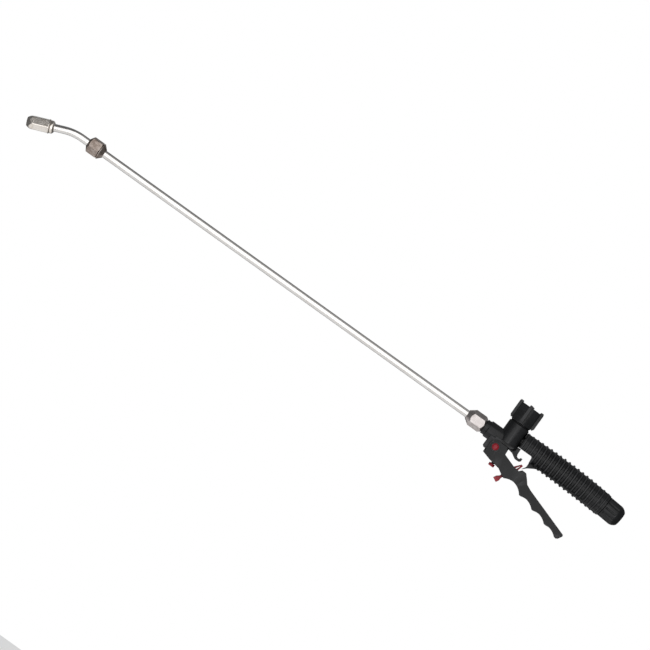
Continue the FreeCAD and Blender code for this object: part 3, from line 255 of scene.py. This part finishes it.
def drawn_steel(name):
    """Polished tube with the faint lengthwise lines that drawing leaves."""
    shader = Shader(name)
    lines = shader.noise(1.0, 4.0, 0.6, shader.stretched((12.0, 2200.0, 2200.0)))
    cloud = shader.noise(22.0, 4.0)
    shader.colour(shader.ramp(cloud, [(0.3, (0.84, 0.81, 0.78)), (0.7, (0.94, 0.92, 0.90))]))
    shader.roughness(shader.spread(lines, 0.10, 0.26))
    shader.bump([(lines, 0.00003, 0.25)])
    shader.fixed(Metallic=1.0)
    return shader.material


def cast_plating(name, hollow_tone, middle, bright, rough_low, rough_high, pit_depth):
    """Plated casting: cloudy tone, small pits, rubbed bright along its edges."""
    shader = Shader(name)
    cloud = shader.noise(170.0, 6.0, 0.65)
    tone = shader.ramp(cloud, [(0.28, hollow_tone), (0.5, middle), (0.72, bright)])
    shader.colour(shader.worn_edges(tone, bright, METAL_WEAR, 400.0))
    shader.roughness(shader.spread(shader.noise(300.0, 5.0), rough_low, rough_high))
    pits = shader.node("ShaderNodeTexVoronoi")
    pits.inputs["Scale"].default_value = 650.0
    shader.link(shader.place, pits.inputs["Vector"])
    shader.bump([(pits.outputs["Distance"], pit_depth, 0.35), (cloud, pit_depth * 2, 0.35)])
    shader.fixed(Metallic=1.0)
    return shader.material


def wire_steel(name):
    """Grey drawn wire with a fine streak."""
    shader = Shader(name)
    streak = shader.noise(900.0, 4.0)
    shader.colour(shader.ramp(streak, [(0.3, (0.45, 0.45, 0.46)), (0.7, (0.66, 0.66, 0.66))]))
    shader.roughness(shader.spread(streak, 0.22, 0.38))
    shader.bump([(streak, 0.00003, 0.3)])
    shader.fixed(Metallic=1.0)
    return shader.material


def woven_mesh(name):
    """Fine filter cloth: two crossed sets of wires in bump and colour."""
    shader = Shader(name)
    heights = []
    for turn in (0.0, math.pi / 2):
        mapping = shader.node("ShaderNodeMapping")
        mapping.inputs["Rotation"].default_value = (0.0, turn, 0.0)
        shader.link(shader.place, mapping.inputs["Vector"])
        wave = shader.node("ShaderNodeTexWave")
        wave.inputs["Scale"].default_value = 320.0
        shader.link(mapping.outputs["Vector"], wave.inputs["Vector"])
        heights.append((wave.outputs["Fac"], 0.0002, 0.8))
    shader.colour(shader.ramp(heights[0][0], [(0.1, (0.2, 0.2, 0.2)), (0.8, (0.6, 0.6, 0.6))]))
    shader.roughness(shader.spread(heights[1][0], 0.5, 0.3))
    shader.bump(heights)
    shader.fixed(Metallic=1.0)
    return shader.material


def make_materials():
    """One material per slot of the record, and two more for worn brass."""
    return {
        "black_plastic": moulded_plastic(
            "black_plastic", (0.009, 0.0095, 0.010), (0.019, 0.0195, 0.021), (0.085, 0.085, 0.090),
            0.24, 0.36),
        "red_plastic": moulded_plastic(
            "red_plastic", (0.25, 0.008, 0.018), (0.40, 0.016, 0.030), (0.62, 0.10, 0.12), 0.24, 0.38),
        "stainless": drawn_steel("stainless"),
        "nickel_brass": cast_plating(
            "nickel_brass", (0.42, 0.37, 0.355), (0.60, 0.55, 0.535), (0.76, 0.71, 0.70),
            0.26, 0.46, 0.00012),
        "aged_brass": cast_plating(
            "aged_brass", (0.20, 0.15, 0.12), (0.40, 0.33, 0.29), (0.60, 0.53, 0.49),
            0.28, 0.50, 0.00012),
        "nozzle_brass": cast_plating(
            "nozzle_brass", (0.70, 0.62, 0.54), (0.96, 0.89, 0.81), (0.99, 0.95, 0.90),
            0.14, 0.30, 0.00005),
        "seal_rubber": moulded_plastic(
            "seal_rubber", (0.008, 0.008, 0.009), (0.018, 0.018, 0.019), (0.03, 0.03, 0.03),
            0.55, 0.75),
        "spring_steel": wire_steel("spring_steel"),
        "white_plastic": moulded_plastic(
            "white_plastic", (0.60, 0.60, 0.56), (0.72, 0.72, 0.69), (0.78, 0.78, 0.76), 0.35, 0.5),
        "mesh_steel": woven_mesh("mesh_steel"),
        "ceramic": moulded_plastic(
            "ceramic", (0.62, 0.55, 0.42), (0.74, 0.68, 0.56), (0.82, 0.78, 0.70), 0.18, 0.3),
    }


OWN_FINISH = {
    "elbow_nut": "aged_brass",
    "lance_fitting": "aged_brass",
    "nozzle_cap": "nozzle_brass",
    "nozzle_body": "nozzle_brass",
}


def dress_nodes(materials):
    """Give every carried-over node the material of its slot, or its own."""
    for entry in frame["record"]["subparts"]:
        node = NODES[entry["node"]]
        finish = OWN_FINISH.get(entry["node"], entry["material_slot"])
        node.data.materials.clear()
        node.data.materials.append(materials[finish])


def round_edges(name, radius):
    """Weld a node's faces together in modifiers and round its sharp edges."""
    node = NODES[name]
    weld = node.modifiers.new("weld", "WELD")
    weld.merge_threshold = WELD_DISTANCE
    bevel = node.modifiers.new("rounded", "BEVEL")
    bevel.width = radius
    bevel.segments = EDGE_SEGMENTS
    bevel.limit_method = "ANGLE"
    bevel.angle_limit = SHARP_ANGLE
    bevel.harden_normals = True


# ------------------------------------------------------------------ side strip

def grip_line(along):
    """Point and slope of the grip's centre line, from its front end."""
    x = GRIP_FRONT + along
    past = x - GRIP_BEND_START
    if past <= 0:
        return Vector((x, 0.0, 0.0)), 0.0
    angle = past / GRIP_BEND_RADIUS
    centre = Vector((GRIP_BEND_START + GRIP_BEND_RADIUS * math.sin(angle), 0.0,
                     -GRIP_BEND_RADIUS * (1 - math.cos(angle))))
    return centre, angle


def strip_section(side, fade):
    """Low dome on one side of the grip, as (across, up) pairs."""
    face = STRIP_ROOT + (STRIP_FACE - STRIP_ROOT) * fade
    points = []
    for index in range(STRIP_POINTS + 1):
        turn = math.pi * index / STRIP_POINTS
        rise = math.sin(turn) ** DOME_POWER
        across = side * (STRIP_ROOT + (face - STRIP_ROOT) * rise)
        points.append((across, STRIP_HALF_HEIGHT * math.cos(turn)))
    points.append((side * (STRIP_ROOT - STRIP_UNDERCUT), 0.0))
    return points


def make_strip(name, side, material):
    """Strip where the grooves of the grip run out, along its whole side."""
    mesh = bpy.data.meshes.new(name)
    build = bmesh.new()
    rings = []
    for step in range(STRIP_STEPS + 1):
        share = step / STRIP_STEPS
        end = min(share, 1 - share) / STRIP_FADE
        fade = 0.5 - 0.5 * math.cos(math.pi * min(end, 1.0))
        centre, angle = grip_line(GRIP_LENGTH * share)
        up = Vector((math.sin(angle), 0.0, math.cos(angle)))
        rings.append([build.verts.new(centre + Vector((0.0, across, 0.0)) + up * height)
                      for across, height in strip_section(side, max(fade, STRIP_LEAST))])
    count = len(rings[0])
    for first, second in zip(rings, rings[1:]):
        for index in range(count):
            following = (index + 1) % count
            build.faces.new((first[index], first[following], second[following], second[index]))
    build.faces.new(list(reversed(rings[0])))
    build.faces.new(rings[-1])
    bmesh.ops.recalc_face_normals(build, faces=build.faces)
    for face in build.faces:
        face.smooth = len(face.verts) == 4
    build.to_mesh(mesh)
    build.free()
    strip = bpy.data.objects.new(name, mesh)
    bpy.context.scene.collection.objects.link(strip)
    mesh.materials.append(material)
    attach(strip, "handle")


# ----------------------------------------------------------------------- stage

def make_floor():
    """Plain pale floor, far enough down to stay out of the main picture."""
    spot = (VIEW_CENTRE_X, 0.0, CAD_LOW.z - FLOOR_DROP)
    bpy.ops.mesh.primitive_plane_add(size=FLOOR_SIZE, location=spot)
    floor = bpy.context.object
    floor.name = "floor"
    shader = Shader("floor_paint")
    tone = shader.noise(3.0, 2.0)
    shader.colour(shader.ramp(tone, [(0.3, (0.90, 0.90, 0.90)), (0.7, (0.93, 0.93, 0.93))]))
    shader.fixed(Roughness=0.9, Emission_Color=(*WHITE, 1.0), Emission_Strength=FLOOR_GLOW)
    floor.data.materials.append(shader.material)


def make_world():
    """White to the eye, and a soft grey surround to the surfaces."""
    world = bpy.data.worlds.new("studio")
    bpy.context.scene.world = world
    world.use_nodes = True
    tree = world.node_tree
    tree.nodes.clear()
    output = tree.nodes.new("ShaderNodeOutputWorld")
    mix = tree.nodes.new("ShaderNodeMixShader")
    seen = tree.nodes.new("ShaderNodeBackground")
    seen.inputs["Color"].default_value = (*WHITE, 1.0)
    seen.inputs["Strength"].default_value = 1.0
    felt = tree.nodes.new("ShaderNodeBackground")
    felt.inputs["Color"].default_value = (*FELT_COLOUR, 1.0)
    felt.inputs["Strength"].default_value = FELT_STRENGTH
    path = tree.nodes.new("ShaderNodeLightPath")
    tree.links.new(path.outputs["Is Camera Ray"], mix.inputs["Fac"])
    tree.links.new(felt.outputs["Background"], mix.inputs[1])
    tree.links.new(seen.outputs["Background"], mix.inputs[2])
    tree.links.new(mix.outputs["Shader"], output.inputs["Surface"])


def softbox(name, spot, target, width, height, power):
    """Rectangular area light aimed at a point."""
    data = bpy.data.lights.new(name, "AREA")
    data.shape = "RECTANGLE"
    data.size = width
    data.size_y = height
    data.energy = power
    lamp = bpy.data.objects.new(name, data)
    lamp.location = spot
    lamp.rotation_euler = (Vector(target) - Vector(spot)).to_track_quat("-Z", "Y").to_euler()
    bpy.context.scene.collection.objects.link(lamp)


def make_lights():
    """Tall box in front, and weak ones above and behind."""
    middle = (CAD_LOW + CAD_HIGH) / 2
    softbox("front_box", (middle.x, -2.0, 0.15), middle, 2.2, 4.0, 34.0)
    softbox("top_box", (middle.x + 0.3, -0.3, 2.0), middle, 2.2, 1.6, 2.5)
    softbox("back_box", (middle.x - 0.4, 2.2, 1.2), middle, 2.2, 1.4, 2.5)


def make_camera():
    """Side view from the front, rolled so that the lance slopes as it should."""
    tube_low, tube_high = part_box("lance_tube")
    axis_z = (tube_low.z + tube_high.z) / 2
    target = Vector((VIEW_CENTRE_X, 0.0, axis_z - VIEW_BELOW_LANCE))
    distance = VIEW_WIDTH * LENS_MM / SENSOR_MM
    data = bpy.data.cameras.new("camera")
    data.lens = LENS_MM
    data.sensor_width = SENSOR_MM
    data.clip_start = 0.05
    data.clip_end = 50.0
    camera = bpy.data.objects.new("camera", data)
    right = Vector((math.cos(LANCE_SLOPE), 0.0, math.sin(LANCE_SLOPE)))
    up = Vector((-math.sin(LANCE_SLOPE), 0.0, math.cos(LANCE_SLOPE)))
    back = right.cross(up)
    turn = Matrix((right, up, back)).transposed().to_4x4()
    camera.matrix_world = Matrix.Translation(target + back * distance) @ turn
    bpy.context.scene.collection.objects.link(camera)
    bpy.context.scene.camera = camera
    bpy.context.scene.view_settings.view_transform = "Standard"


make_camera()
make_world()
make_lights()
make_floor()
MATERIALS = make_materials()
dress_nodes(MATERIALS)
for node_name, edge_radius in EDGE_RADIUS.items():
    round_edges(node_name, edge_radius)
make_strip("grip_strip_front", -1, MATERIALS["black_plastic"])
make_strip("grip_strip_back", 1, MATERIALS["black_plastic"])
